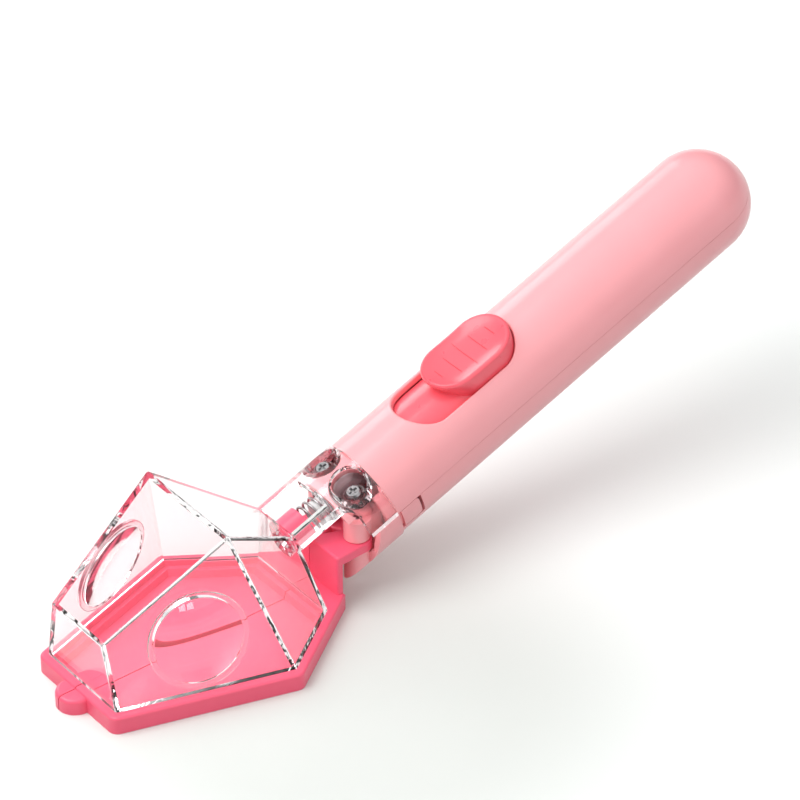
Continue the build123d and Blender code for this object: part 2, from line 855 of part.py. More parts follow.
with BuildPart() as grooves:
    add(groove_block)
    with BuildSketch(above(0)):
        for number, share in enumerate(groove_lengths_share):
            step = number - (len(groove_lengths_share) - 1) / 2
            with Locations((button_middle + step * groove_pitch, 0)):
                SlotOverall(groove_longest * share, groove_width, rotation=90)
    extrude(amount=2 * button_rim_height, mode=Mode.INTERSECT)

with BuildPart() as button:
    add([button_foot, button_waist])
    loft()
    add([button_waist, button_rim])
    loft()
    add(rim_block, mode=Mode.SUBTRACT)
    fillet(button.faces().sort_by(Axis(axis_foot, square_up))[-1].edges(), rim_round)
    add(dish.part, mode=Mode.SUBTRACT)
    add(grooves.part, mode=Mode.SUBTRACT)
    with BuildSketch(across(0)):
        Circle(carriage_bore + carriage_wall / 2)
    extrude(amount=handle_end, mode=Mode.SUBTRACT)

with BuildPart() as thumb_slider:
    add(carriage_tube)
    with BuildSketch(above(0)):
        with Locations(((carriage_start + carriage_end) / 2, 0)):
            RectangleRounded(carriage_end - carriage_start, 2 * carriage_half, carriage_wall)
    extrude(amount=overrun, mode=Mode.INTERSECT)
    with BuildSketch(beside()):
        with Locations(((rod_block_start + rod_block_end) / 2, (rod_top + carriage_radius) / 2)):
            Rectangle(rod_block_end - rod_block_start, carriage_radius - rod_top)
    extrude(amount=rod_half, both=True)
    with BuildSketch(across(0)):
        Circle(overrun)
        Circle(carriage_radius, mode=Mode.SUBTRACT)
    extrude(amount=handle_end, mode=Mode.SUBTRACT)
    add(button.part)
    with BuildSketch(above(rod_top)):
        with Locations(((rod_block_start + rod_block_end) / 2, 0)):
            Circle(screw_radius + thread_play)
    extrude(amount=slider_screw_length + screw_tip - rod_top + rod_bottom, mode=Mode.SUBTRACT)
finish(thumb_slider.part, "thumb_slider")

# Push rod with the spring flange and the boss of the drive pin
boss_low_z = near_ear_z + ear_thick + ear_gap + 2 * half_run * tan(radians(tilt))
pin_low_z = far_ear_z - ear_gap
rod_middle = (rod_top + rod_bottom) / 2

with BuildPart() as push_rod:
    with BuildSketch(beside()):
        with Locations(((flange_place + rod_end) / 2, rod_middle)):
            Rectangle(rod_end - flange_place, rod_top - rod_bottom)
    extrude(amount=rod_half, both=True)
    with BuildSketch(across(flange_place)):
        with Locations((0, rod_height)):
            Circle(flange_radius)
    extrude(amount=flange_thick)
    with BuildSketch(across(flange_place)):
        with Locations((0, rod_height)):
            Circle(nose_radius)
    extrude(amount=-nose_length)
    fillet(push_rod.faces().sort_by(Axis(axis_foot, along))[0].edges(), nose_radius / 3)
    with BuildSketch(Plane.XY.offset(boss_low_z)):
        with Locations((drive_pin_x, 0)):
            Circle(drive_boss_radius)
    extrude(amount=height_at(drive_pin_x, rod_middle) - boss_low_z)
    with BuildSketch(Plane.XY.offset(boss_low_z)):
        with Locations((drive_pin_x, 0)):
            Circle(drive_pin_radius + drive_pin_seat)
    extrude(amount=height_at(drive_pin_x, rod_middle) - boss_low_z, mode=Mode.SUBTRACT)
    with BuildSketch(above(rod_bottom)):
        with Locations(((rod_block_start + rod_block_end) / 2, 0)):
            Circle(screw_radius + screw_hole_play)
    extrude(amount=rod_top - rod_bottom, mode=Mode.SUBTRACT)
finish(push_rod.part, "push_rod")

rod_screw_seat = on_axis((rod_block_start + rod_block_end) / 2, 0, rod_bottom)
rod_screw = screw(rod_screw_seat, square_up, slider_screw_length)

with BuildPart() as slider_screw:
    add(rod_screw)
finish(slider_screw.part, "slider_screw")

with BuildPart() as drive_pin:
    with BuildSketch(Plane.XY.offset(pin_low_z)):
        with Locations((drive_pin_x, 0)):
            Circle(drive_pin_radius)
    extrude(amount=height_at(drive_pin_x, rod_middle) - drive_pin_seat - pin_low_z)
    chamfer(drive_pin.edges().sort_by(Axis.Z)[0], drive_pin_radius / 4)
finish(drive_pin.part, "drive_pin")

# Return spring, one wire wound as arcs of a quarter turn and less
spring_low = spring_cup_start + spring_cup_floor + wire_radius + spring_seat_gap
spring_high = flange_place - wire_radius - spring_seat_gap
coil_radius = spring_radius - wire_radius
coil_pitch = (spring_high - spring_low) / spring_turns


def coil_point(angle):
    """Point on the wire's line, angle radians along the winding."""
    return on_axis(
        spring_low + coil_pitch * angle / (2 * pi),
        coil_radius * cos(angle),
        rod_height + coil_radius * sin(angle),
    )


def coil_heading(angle):
    """Direction of the wire at that point."""
    side_step = Vector(0, -coil_radius * sin(angle), 0)
    rise = square_up * (coil_radius * cos(angle))
    return (side_step + rise + along * (coil_pitch / (2 * pi))).normalized()


with BuildPart() as return_spring:
    with BuildLine() as coil:
        for quarter in range(4 * spring_turns):
            angles = (quarter * pi / 2, (quarter + 1) * pi / 2)
            start, end = (coil_point(angle) for angle in angles)
            leave, arrive = (coil_heading(angle) for angle in angles)
            chord = end - start
            spread = 2 * (1 - leave.dot(arrive))
            lean = chord.dot(leave + arrive)
            handle_length = (sqrt(lean**2 + spread * chord.dot(chord)) - lean) / spread
            corners = (start + leave * handle_length, end - arrive * handle_length)
            joint = (corners[0] + corners[1]) * 0.5
            TangentArc(start, joint, tangent=leave)
            TangentArc(joint, end, tangent=corners[1] - corners[0])
    with BuildSketch(Plane(origin=coil_point(0), z_dir=coil_heading(0))):
        Circle(wire_radius)
    sweep()
finish(return_spring.part, "return_spring")

samples = [coil_point(number * pi / 18) for number in range(36 * spring_turns + 1)]
least_gap = min(
    (samples[one] - samples[two]).length - 2 * wire_radius
    for one in range(len(samples))
    for two in range(one + 18, len(samples))
)
print("spring: least gap between its turns", round(least_gap, 2), "mm")
print("swing of each door", round(swing, 2), "degrees, ratio", round(radians(swing) / travel * 1000, 2), "rad/m")
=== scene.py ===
"""Bug catcher: finishes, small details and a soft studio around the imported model. Lengths are in metres."""

import json
from math import cos, pi, radians, sin, sqrt

import bmesh
import bpy
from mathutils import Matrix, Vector


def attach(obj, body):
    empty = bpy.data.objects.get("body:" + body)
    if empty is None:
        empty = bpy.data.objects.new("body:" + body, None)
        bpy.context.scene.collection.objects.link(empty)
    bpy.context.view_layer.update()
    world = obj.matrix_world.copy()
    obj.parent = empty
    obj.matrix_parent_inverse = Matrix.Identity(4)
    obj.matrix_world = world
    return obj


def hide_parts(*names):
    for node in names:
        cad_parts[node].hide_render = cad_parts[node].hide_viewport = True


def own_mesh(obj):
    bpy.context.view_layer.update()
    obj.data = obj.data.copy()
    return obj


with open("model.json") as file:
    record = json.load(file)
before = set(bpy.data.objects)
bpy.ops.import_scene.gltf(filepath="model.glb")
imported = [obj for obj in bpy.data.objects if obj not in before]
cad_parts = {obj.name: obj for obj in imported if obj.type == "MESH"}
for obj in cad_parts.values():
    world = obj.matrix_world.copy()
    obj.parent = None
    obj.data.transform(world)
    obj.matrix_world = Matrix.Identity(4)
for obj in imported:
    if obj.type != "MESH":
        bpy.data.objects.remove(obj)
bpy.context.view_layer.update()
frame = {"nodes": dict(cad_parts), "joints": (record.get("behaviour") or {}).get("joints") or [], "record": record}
mm = 0.001

# Points nearer than this become one, and edges that turn more than this stay crisp
weld = 0.001 * mm
crease = radians(28)

# Camera, fitted to the photograph
camera_azimuth = radians(-38.24)
camera_elevation = radians(36.1)
camera_distance = 1137.3 * mm
camera_target = Vector((46.52 * mm, -30.39 * mm, 77.48 * mm))
camera_reach = 20.0
focal_pixels = 4421.11
image_pixels = 800
sensor_mm = 36.0

# Colours as they look in plain light
white = (1.0, 1.0, 1.0)
door_colour = (1.0, 0.115, 0.21)
handle_colour = (1.0, 0.41, 0.44)
slider_colour = (1.0, 0.122, 0.166)
rod_colour = (0.80, 0.79, 0.79)
clear_tint = (0.985, 0.985, 0.99)
steel_colour = (0.42, 0.41, 0.42)
floor_colour = (0.46, 0.485, 0.475)
# The table round the object, with painted shade, greenish against the pink light that bounces onto it, and the
# table further out
floor_painted_shade = (0.745, 0.772, 0.742)
floor_far = (0.955, 0.985, 0.970)
backdrop_colour = (0.8, 0.8, 0.8)

# Unevenness of the finishes: its features are about 1 / scale metres wide
flow_scale = 90.0
sheen_scale = 320.0
peel_scale = 1400.0
wave_scale = 55.0
haze_scale = 240.0
patch_scale = 330.0
mark_scale = 900.0
speckle_scale = 6.0

# The values between which a noise texture mostly stays
noise_low = 0.3
noise_high = 0.7

# Opaque plastic: its sheen and peel, the polish over it and the light that sinks into it
plastic_index = 1.5
plastic_sheen_shares = (0.9, 1.12)
peel_depth = 0.02 * mm
peel_strength = 0.25
polish_roughness = 0.12
sinking_share = 0.04
sinking_reach = (1.6 * mm, 0.5 * mm, 0.5 * mm)

# Clear plastic: its haze and waviness, the shade that it casts, and the bounces that trap light in a wall
clear_index = 1.49
haze_roughness = 0.015
wave_depth = 0.05 * mm
wave_strength = 0.12
clear_shade = (0.93, 0.93, 0.93)
trapped_bounces = 2.5

# Painted dark and pale bands along the edges of clear pieces, for the lines that bent light draws there, in shares
# of the turn from face on to edge on
band_first_share = 0.10
band_last_share = 0.94
painted_dark_stretches = ((0.14, 0.18), (0.45, 0.49), (0.76, 0.79))
band_fade_share = 0.03
band_shift_share = 0.11
dark_painted_band = (0.01, 0.0096, 0.0097)
pale_painted_band = (1.0, 0.96, 0.97)

# Plated steel: its drawing marks in sheen, relief and colour
steel_sheen_shares = (0.8, 1.3)
mark_depth = 0.01 * mm
mark_strength = 0.3
mark_tint = 0.08

# Table: its matt face, and how its white changes with the distance from the object, with painted shade round the
# object
floor_size = 6.0
floor_drop = 0.05 * mm
floor_roughness = 0.9
floor_gloss = 0.1
floor_speckle = 0.01
floor_middle = Vector((20 * mm, -45 * mm, 0))
floor_near_radius = 38 * mm
floor_far_radius = 108 * mm
floor_dim_radius = 250 * mm
floor_end_radius = 700 * mm
floor_end_glow = 0.45

# Studio walls that gloss and clear pieces mirror: grey by height, from 0 level to 1 straight up
wall_greys = ((0.06, 1.0), (0.11, 0.08), (0.48, 0.04), (0.62, 0.35), (0.78, 1.0))

# Dark flags on the walls that only clear pieces show
flag_count = 7
flag_edge = 0.1
flag_fade = 0.2
flag_grey = 0.02

# Light from all round, and the lamps with their places, sizes and powers
ambient_level = 0.62
lamps = {
    "key": (Vector((-0.35, 0.15, 0.75)), 0.62, 5.0),
    "fill": (Vector((0.1, -0.9, 0.55)), 0.6, 0.7),
    "rim": (Vector((0.2, 0.88, 0.42)), 0.42, 2.0),
}

# The two panes of a window that the near lens mirrors
window_place = Vector((-0.22, -0.97, 0.36))
window_side = Vector((0.062, -0.014, 0.0))
window_size = 0.105
window_power = 0.3

# The handle's slanted axis, taken from the slide joint: the slider moves down along it
slide = next(joint for joint in frame["joints"] if joint["name"] == "thumb_slide")
along = -Vector(slide["axis"]).normalized()
square_up = Vector((-along.z, 0, along.x))
axis_foot = Vector((-5.1 * mm, 0, 0))

# Return spring, as in the CAD model: between its cup and the push rod's flange
spring_low = 42.4 * mm
spring_high = 56.4 * mm
rod_height = 7.2 * mm
coil_radius = 3.55 * mm
wire_radius = 0.35 * mm
spring_turns = 8
closed_pitch = 0.74 * mm

# Magnifiers, as in the CAD model
lens_radius = 12.2 * mm
lens_rim_radius = 13.9 * mm
lens_rim = 1.0 * mm
lens_rim_round = 0.3 * mm
lens_corner_share = 0.3
lens_bulge = 2.2 * mm
lens_back_bulge = 0.4 * mm
lens_wall = 1.9 * mm
lens_seat = 0.02 * mm

# How far a lens's face has to look sideways to belong to its front, and outwards to lie flat on its rim
front_share = 0.5
flat_share = 0.99999

# Thumb rest of the slider: its top as in the CAD model, and the smooth hollow that is cut into it here
rest_middle = 110.9 * mm
rest_half_length = 14.3 * mm
rest_half_width = 8.7 * mm
rest_height = 16.5 * mm
rest_dip_radius = 86.0 * mm
rest_fill_depth = 1.5 * mm
hollow_inset = 1.1 * mm
fill_inset = 1.4 * mm
hollow_depth = 1.05 * mm
hollow_power = 3.0
hollow_overrun_share = 1.03

# Grooves across the hollow, narrower in their floor and at their ends
groove_depth = 0.3 * mm
groove_half = 0.24 * mm
groove_pitch = 4.7 * mm
groove_half_lengths = (2.0 * mm, 4.3 * mm, 6.0 * mm, 4.3 * mm, 2.4 * mm)
groove_floor_share = 0.5
groove_end_share = 0.05
groove_end_power = 8

# Screw cups of the collar, and the painted shade inside them
cup_place = 62.4 * mm
cup_side = 6.7 * mm
cup_radius = 4.4 * mm
cup_fade = 0.8 * mm
cup_painted_shade = (0.27, 0.18, 0.195)

# Collar of the clear head, and the painted pink shade in it
collar_start = 57.5 * mm
collar_fade = 1.0 * mm
collar_painted_shade = (0.95, 0.80, 0.815)

# Places of the colour sockets on a Mix node
mix_first = 6
mix_second = 7
mix_result = 2


def on_axis(s, y, h):
    """Point s along the handle's axis, y to the side and h square above it."""
    return axis_foot + along * s + Vector((0, y, 0)) + square_up * h


def node_material(name):
    """New material with its node tree and its Principled shader."""
    material = bpy.data.materials.new(name)
    material.use_nodes = True
    tree = material.node_tree
    return material, tree, tree.nodes["Principled BSDF"]


def feed(tree, socket, value):
    """Gives an input a fixed value, or joins it to another node's output."""
    if isinstance(value, bpy.types.NodeSocket):
        tree.links.new(value, socket)
    else:
        socket.default_value = value


def fill_in(tree, node, values):
    """Gives several inputs of a node their values, by name."""
    for name, value in values.items():
        feed(tree, node.inputs[name], value)


def calculated(tree, kind, operation, values):
    """Outputs of a math node of this kind that works on these values."""
    node = tree.nodes.new(kind)
    node.operation = operation
    for socket, value in zip(node.inputs, values):
        feed(tree, socket, value)
    return node.outputs


def number_from(tree, operation, *numbers):
    """Number worked out from numbers."""
    return calculated(tree, "ShaderNodeMath", operation, numbers)["Value"]


def vector_from(tree, operation, *vectors):
    """Vector worked out from vectors."""
    return calculated(tree, "ShaderNodeVectorMath", operation, vectors)["Vector"]


def measure_from(tree, operation, *vectors):
    """Number worked out from vectors."""
    return calculated(tree, "ShaderNodeVectorMath", operation, vectors)["Value"]


def fitted(tree, value, start, end, low=0.0, high=1.0, interpolation="LINEAR"):
    """The value, taken from between start and end to between low and high, and held beyond them."""
    fit = tree.nodes.new("ShaderNodeMapRange")
    fit.interpolation_type = interpolation
    fill_in(tree, fit, {"Value": value, "From Min": start, "From Max": end, "To Min": low, "To Max": high})
    return fit.outputs["Result"]


def blended(tree, share, first, second, blend="MIX"):
    """Colour that is the first where the share is 0 and blends into the second up to a share of 1."""
    mix = tree.nodes.new("ShaderNodeMix")
    mix.data_type = "RGBA"
    mix.blend_type = blend
    feed(tree, mix.inputs["Factor"], share)
    feed(tree, mix.inputs[mix_first], first)
    feed(tree, mix.inputs[mix_second], second)
    return mix.outputs[mix_result]


def ramped(tree, value, stops):
    """Colour that follows the value through stops, each a position and a colour, its two ends outermost."""
    ramp = tree.nodes.new("ShaderNodeValToRGB")
    tree.links.new(value, ramp.inputs["Fac"])
    elements = ramp.color_ramp.elements
    first, *inner, last = stops
    for element, (position, colour) in zip(elements, (first, last)):
        element.position = position
        element.color = (*colour, 1)
    for position, colour in inner:
        elements.new(position).color = (*colour, 1)
    return ramp.outputs["Color"]


def either(tree, share, first, second):
    """Shader that is the first where the share is 0 and the second where it is 1."""
    mix = tree.nodes.new("ShaderNodeMixShader")
    tree.links.new(share, mix.inputs["Fac"])
    tree.links.new(first, mix.inputs[1])
    tree.links.new(second, mix.inputs[2])
    return mix.outputs["Shader"]


def own_place(tree):
    """Place on the piece, in the model's frame."""
    return tree.nodes.new("ShaderNodeTexCoord").outputs["Object"]


def noise(tree, scale, detail=3.0):
    """Noise over the piece."""
    texture = tree.nodes.new("ShaderNodeTexNoise")
    fill_in(tree, texture, {"Vector": own_place(tree), "Scale": scale, "Detail": detail})
    return texture.outputs["Fac"]


def spread(tree, texture, low, high):
    """The texture's value, stretched to run from low to high."""
    return fitted(tree, texture, noise_low, noise_high, low, high)


def tinted(tree, texture, colour, depth):
    """Colour that varies a little in depth with the texture."""
    dark = (*(channel * (1 - depth) for channel in colour), 1)
    bright = (*(min(1, channel * (1 + depth)) for channel in colour), 1)
    return blended(tree, spread(tree, texture, 0, 1), dark, bright)


def uneven(tree, texture, roughness, shares):
    """Roughness that varies with the texture between two shares of itself."""
    low, high = shares
    return spread(tree, texture, roughness * low, roughness * high)


def bumped(tree, texture, distance, strength):
    """Fine relief from the texture."""
    bump = tree.nodes.new("ShaderNodeBump")
    fill_in(tree, bump, {"Height": texture, "Distance": distance, "Strength": strength})
    return bump.outputs["Normal"]


def moulded_plastic(name, colour, roughness, gloss=0.0, depth=0.025):
    """Opaque moulded plastic: flow marks in the colour, a faint orange peel and uneven gloss."""
    material, tree, shader = node_material(name)
    fill_in(tree, shader, {
        "Base Color": tinted(tree, noise(tree, flow_scale), colour, depth),
        "Roughness": uneven(tree, noise(tree, sheen_scale), roughness, plastic_sheen_shares),
        "Normal": bumped(tree, noise(tree, peel_scale, detail=2.0), peel_depth, peel_strength),
        "IOR": plastic_index,
        "Coat Weight": gloss,
        "Coat Roughness": polish_roughness,
        "Subsurface Weight": sinking_share,
        "Subsurface Radius": sinking_reach,
        "Subsurface Scale": 1.0,
    })
    return material


def collar_with_painted_pink(tree, place):
    """Clear, with a painted pink shade in the collar that is slipped over it, for the handle's pink showing
    through.
    """
    start = axis_foot.dot(along) + collar_start
    reach = measure_from(tree, "DOT_PRODUCT", place, along)
    share = fitted(tree, reach, start - collar_fade, start + collar_fade)
    return blended(tree, share, (*clear_tint, 1), (*collar_painted_shade, 1))


def clear_with_painted_shade(tree):
    """Clear, with painted pink shade in the collar and painted shade inside its two deep screw cups."""
    place = own_place(tree)
    distances = []
    for side in (-1, 1):
        offset = vector_from(tree, "SUBTRACT", place, on_axis(cup_place, side * cup_side, 0))
        square = vector_from(tree, "CROSS_PRODUCT", offset, square_up)
        distances.append(measure_from(tree, "LENGTH", square))
    nearest = number_from(tree, "MINIMUM", *distances)
    share = fitted(tree, nearest, cup_radius, cup_radius + cup_fade)
    return blended(tree, share, (*cup_painted_shade, 1), collar_with_painted_pink(tree, place))


def painted_bands_at_edges(tree):
    """Painted dark and pale bands along the edges of a clear moulding, broken up by its unevenness."""
    facing = tree.nodes.new("ShaderNodeLayerWeight").outputs["Facing"]
    patches = spread(tree, noise(tree, patch_scale, detail=1.0), -band_shift_share, band_shift_share)
    inner = [(share, dark_painted_band) for band in painted_dark_stretches for share in band]
    inner += [(start - band_fade_share, pale_painted_band) for start, end in painted_dark_stretches[1:]]
    inner += [(end + band_fade_share, pale_painted_band) for start, end in painted_dark_stretches]
    stops = [(band_first_share, white), *inner, (band_last_share, white)]
    return ramped(tree, number_from(tree, "ADD", facing, patches), stops)


def clear_plastic(name):
    """Clear polished plastic that lets lamps through, faintly wavy as mouldings are, with painted shade in its
    cups.

    Light that keeps bouncing inside a wall leaves it after a few turns, as it does from a real, slightly
    scratched one, and takes the painted dark and pale bands of the edges with it.
    """
    material, tree, shader = node_material(name)
    fill_in(tree, shader, {
        "Base Color": clear_with_painted_shade(tree),
        "Roughness": spread(tree, noise(tree, haze_scale), 0.0, haze_roughness),
        "Normal": bumped(tree, noise(tree, wave_scale, detail=1.0), wave_depth, wave_strength),
        "Transmission Weight": 1.0,
        "IOR": clear_index,
    })
    path = tree.nodes.new("ShaderNodeLightPath").outputs
    # Light trapped in a wall leaves it carrying the painted dark and pale bands of the edges
    painted_leak = tree.nodes.new("ShaderNodeBsdfTransparent")
    tree.links.new(painted_bands_at_edges(tree), painted_leak.inputs["Color"])
    passing = tree.nodes.new("ShaderNodeBsdfTransparent")
    passing.inputs["Color"].default_value = (*clear_shade, 1)
    trapped = number_from(tree, "GREATER_THAN", path["Glossy Depth"], trapped_bounces)
    body = either(tree, trapped, shader.outputs["BSDF"], painted_leak.outputs["BSDF"])
    surface = either(tree, path["Is Shadow Ray"], body, passing.outputs["BSDF"])
    tree.links.new(surface, tree.nodes["Material Output"].inputs["Surface"])
    return material


def plated_steel(name, colour, roughness):
    """Plated steel with fine drawing marks."""
    material, tree, shader = node_material(name)
    marks = noise(tree, mark_scale, detail=4.0)
    fill_in(tree, shader, {
        "Base Color": tinted(tree, marks, colour, mark_tint),
        "Roughness": uneven(tree, marks, roughness, steel_sheen_shares),
        "Normal": bumped(tree, marks, mark_depth, mark_strength),
        "Metallic": 1.0,
    })
    return material


finishes = {
    "clear_plastic": clear_plastic("clear_plastic"),
    "door_pink": moulded_plastic("door_pink", door_colour, roughness=0.34, gloss=0.15),
    "handle_pink": moulded_plastic("handle_pink", handle_colour, roughness=0.33, gloss=0.2, depth=0.015),
    "slider_coral": moulded_plastic("slider_coral", slider_colour, roughness=0.3, gloss=0.3),
    "rod_plastic": moulded_plastic("rod_plastic", rod_colour, roughness=0.4),
    "steel": plated_steel("steel", steel_colour, roughness=0.28),
}


def dress_nodes():
    """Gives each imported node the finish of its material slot."""
    for part in frame["record"]["subparts"]:
        mesh = frame["nodes"][part["node"]].data
        mesh.materials.clear()
        mesh.materials.append(finishes[part["material_slot"]])


def circle(centre, across, upward, radius, count):
    """Points of a circle round the centre, in the plane of two unit vectors."""
    angles = [2 * pi * step / count for step in range(count)]
    return [centre + (across * cos(angle) + upward * sin(angle)) * radius for angle in angles]


def ring_faces(first, count, rings):
    """Faces between rings of points that follow one another, from the point numbered first."""
    faces = []
    for low in range(first, first + (rings - 1) * count, count):
        for index in range(count):
            after = (index + 1) % count
            faces.append([low + index, low + after, low + count + after, low + count + index])
    return faces


def tube(rings):
    """Points and faces of a skin through rings of points, with a flat end at either side."""
    count = len(rings[0])
    points = [point for ring in rings for point in ring]
    ends = [list(range(count)), list(range(len(points) - count, len(points)))]
    return points, ring_faces(0, count, len(rings)) + ends


def pointed_skin(start, rings, end):
    """Points and faces of a skin that opens from a point into rings and closes in another point."""
    count = len(rings[0])
    points = [start, *(point for ring in rings for point in ring), end]
    last = len(points) - 1 - count
    faces = ring_faces(1, count, len(rings))
    for index in range(count):
        after = (index + 1) % count
        faces.append([0, 1 + index, 1 + after])
        faces.append([last + index, last + after, len(points) - 1])
    return points, faces


def skin_of(mesh):
    """Points and faces of a mesh."""
    return [vertex.co.copy() for vertex in mesh.vertices], [list(face.vertices) for face in mesh.polygons]


def closed_mesh(name, skin):
    """Mesh of a closed skin, given as points and faces, that looks outwards all over."""
    points, faces = skin
    mesh = bpy.data.meshes.new(name)
    mesh.from_pydata([tuple(point) for point in points], [], faces)
    work = bmesh.new()
    work.from_mesh(mesh)
    bmesh.ops.remove_doubles(work, verts=work.verts, dist=weld)
    bmesh.ops.recalc_face_normals(work, faces=work.faces)
    work.to_mesh(mesh)
    work.free()
    return mesh


def new_piece(name, skin, body, slot):
    """Mesh object made of a skin, with the finish of its slot, riding on a body."""
    mesh = closed_mesh(name, skin)
    mesh.shade_smooth()
    mesh.set_sharp_from_angle(angle=crease)
    mesh.materials.append(finishes[slot])
    piece = bpy.data.objects.new(name, mesh)
    bpy.context.scene.collection.objects.link(piece)
    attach(piece, body)
    return piece


def coil_height(turn):
    """Distance along the spring after so many turns: its end turns are closed."""
    open_pitch = (spring_high - spring_low - 2 * wire_radius - 2 * closed_pitch) / (spring_turns - 2)
    closed_low = min(turn, 1) * closed_pitch
    closed_high = max(0, turn - spring_turns + 1) * closed_pitch
    opened = min(max(turn - 1, 0), spring_turns - 2) * open_pitch
    return spring_low + wire_radius + closed_low + opened + closed_high


def return_spring(steps=48, sides=12):
    """Wound wire with closed end turns."""
    centres = []
    outwards = []
    for step in range(steps * spring_turns + 1):
        angle = 2 * pi * step / steps
        outward = Vector((0, cos(angle), 0)) + square_up * sin(angle)
        outwards.append(outward)
        centres.append(on_axis(coil_height(step / steps), 0, rod_height) + outward * coil_radius)
    rings = []
    for index, (centre, outward) in enumerate(zip(centres, outwards)):
        heading = (centres[min(index + 1, len(centres) - 1)] - centres[max(index - 1, 0)]).normalized()
        beside = heading.cross(outward).normalized()
        rings.append(circle(centre, outward, beside, wire_radius, sides))
    piece = new_piece("wound_spring", tube(rings), "body", "steel")
    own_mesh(piece)
    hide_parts("return_spring")


def cap(radius, rise, steps):
    """Points (out, up) of a shallow dome's profile, from its middle to its edge."""
    ball = (radius**2 + rise**2) / (2 * rise)
    outs = [radius * sin(pi / 2 * step / steps) for step in range(steps + 1)]
    return [(out, rise - ball + sqrt(ball**2 - out**2)) for out in outs]


def lens_stand(name, side):
    """Middle of a packed lens's seat and the way the lens faces, read from its own mesh.

    The faces that look to its side are its front. A flat circle bounds them, so their areas add up to a
    vector square to it, and the flat ring on its rim gives the middle.
    """
    front = [face for face in frame["nodes"][name].data.polygons if face.normal.y * side > front_share]
    outward = sum((face.normal * face.area for face in front), Vector()).normalized()
    rim = [face for face in front if face.normal.dot(outward) > flat_share]
    middle = sum((face.center * face.area for face in rim), Vector()) / sum(face.area for face in rim)
    return middle - outward * lens_rim, outward


def magnifier(name, side, turns=144, dome_rings=30, back_rings=10):
    """Magnifier in a front side facet: a smooth dome on a flat rim, with a slightly domed back."""
    foot, outward = lens_stand(name, side)
    beside = outward.cross(Vector((0, 0, 1))).normalized()
    upward = beside.cross(outward)
    corner = lens_corner_share * lens_rim_round
    profile = [(out, lens_rim + up) for out, up in cap(lens_radius, lens_bulge, dome_rings)]
    profile += [
        (lens_radius + lens_rim_round, lens_rim),
        (lens_rim_radius - lens_rim_round, lens_rim),
        (lens_rim_radius - corner, lens_rim - corner),
        (lens_rim_radius, lens_rim - lens_rim_round),
        (lens_rim_radius, lens_seat),
        (lens_radius, lens_seat),
        (lens_radius, -lens_wall),
    ]
    back = reversed(cap(lens_radius, lens_back_bulge, back_rings))
    profile += [(out, -lens_wall - up) for out, up in back][1:]
    rings = [circle(foot + outward * up, beside, upward, out, turns) for out, up in profile[1:-1]]
    skin = pointed_skin(foot + outward * profile[0][1], rings, foot + outward * profile[-1][1])
    piece = new_piece(name + "_glass", skin, "body", "clear_plastic")
    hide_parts(name)


def rest_surface(x):
    """Height of the thumb rest's rim over the handle's axis, x along from its middle."""
    return rest_height + rest_dip_radius - sqrt(rest_dip_radius**2 - x**2)


def rest_outline(inset, end_steps=24, side_steps=10):
    """Points round the thumb rest's slot shape, drawn in by the inset."""
    half = rest_half_width - inset
    centre = rest_half_length - rest_half_width
    points = []
    for end in (1, -1):
        for step in range(end_steps + 1):
            angle = end * (pi * step / end_steps - pi / 2)
            points.append((end * (centre + half * cos(angle)), half * sin(angle)))
        for step in range(1, side_steps):
            points.append((end * centre * (1 - 2 * step / side_steps), end * half))
    return points


def hollow_share(x, y):
    """How far out a point of the hollow lies, from 0 in its middle to 1 on its edge.

    The line from the middle through the point leaves the slot shape by a straight side or by a round end.
    """
    half = rest_half_width - hollow_inset
    centre = rest_half_length - rest_half_width
    if abs(x) * half <= centre * abs(y):
        return abs(y) / half
    squared = x**2 + y**2
    if squared == 0:
        return 0
    reach = centre * abs(x)
    return squared / (reach + sqrt(reach**2 - squared * (centre**2 - half**2)))


def hollow_surface(x, y):
    """Height of the hollow over the handle's axis."""
    return rest_surface(x) - hollow_depth * (1 - hollow_share(x, y) ** hollow_power)


def on_rest(x, y, h):
    """Point of the thumb rest, x up the handle from its middle."""
    return on_axis(rest_middle + x, y, h)


def column(outline, shares, floor_height, top):
    """Closed column over the outline: rings of points on its floor, a wall and a flat top."""
    rings = []
    for share in shares:
        ring = [(x * share, y * share) for x, y in outline]
        rings.append([on_rest(x, y, floor_height(x, y)) for x, y in ring])
    rings.append([on_rest(x, y, top) for x, y in ring])
    return pointed_skin(on_rest(0, 0, floor_height(0, 0)), rings, on_rest(0, 0, top))


def groove_section(x, half_length, across):
    """Corners of a groove's cutter at one place, where across runs from -1 to 1 over its length."""
    y = half_length * across
    height = hollow_surface(x, y)
    share = 1 - across**groove_end_power
    half = groove_half * sqrt(max(groove_end_share, share))
    floor_half = groove_floor_share * half
    return [
        on_rest(x - half, y, height + groove_depth),
        on_rest(x + half, y, height + groove_depth),
        on_rest(x + floor_half, y, height - groove_depth * share),
        on_rest(x - floor_half, y, height - groove_depth * share),
    ]


def groove_strips(steps=28):
    """Strips that cut the grooves, each following the hollow across the thumb rest."""
    points = []
    faces = []
    middle = (len(groove_half_lengths) - 1) / 2
    for number, half_length in enumerate(groove_half_lengths):
        x = (number - middle) * groove_pitch
        sections = [groove_section(x, half_length, 2 * step / steps - 1) for step in range(steps + 1)]
        strip_points, strip_faces = tube(sections)
        faces += [[len(points) + corner for corner in face] for face in strip_faces]
        points += strip_points
    return points, faces


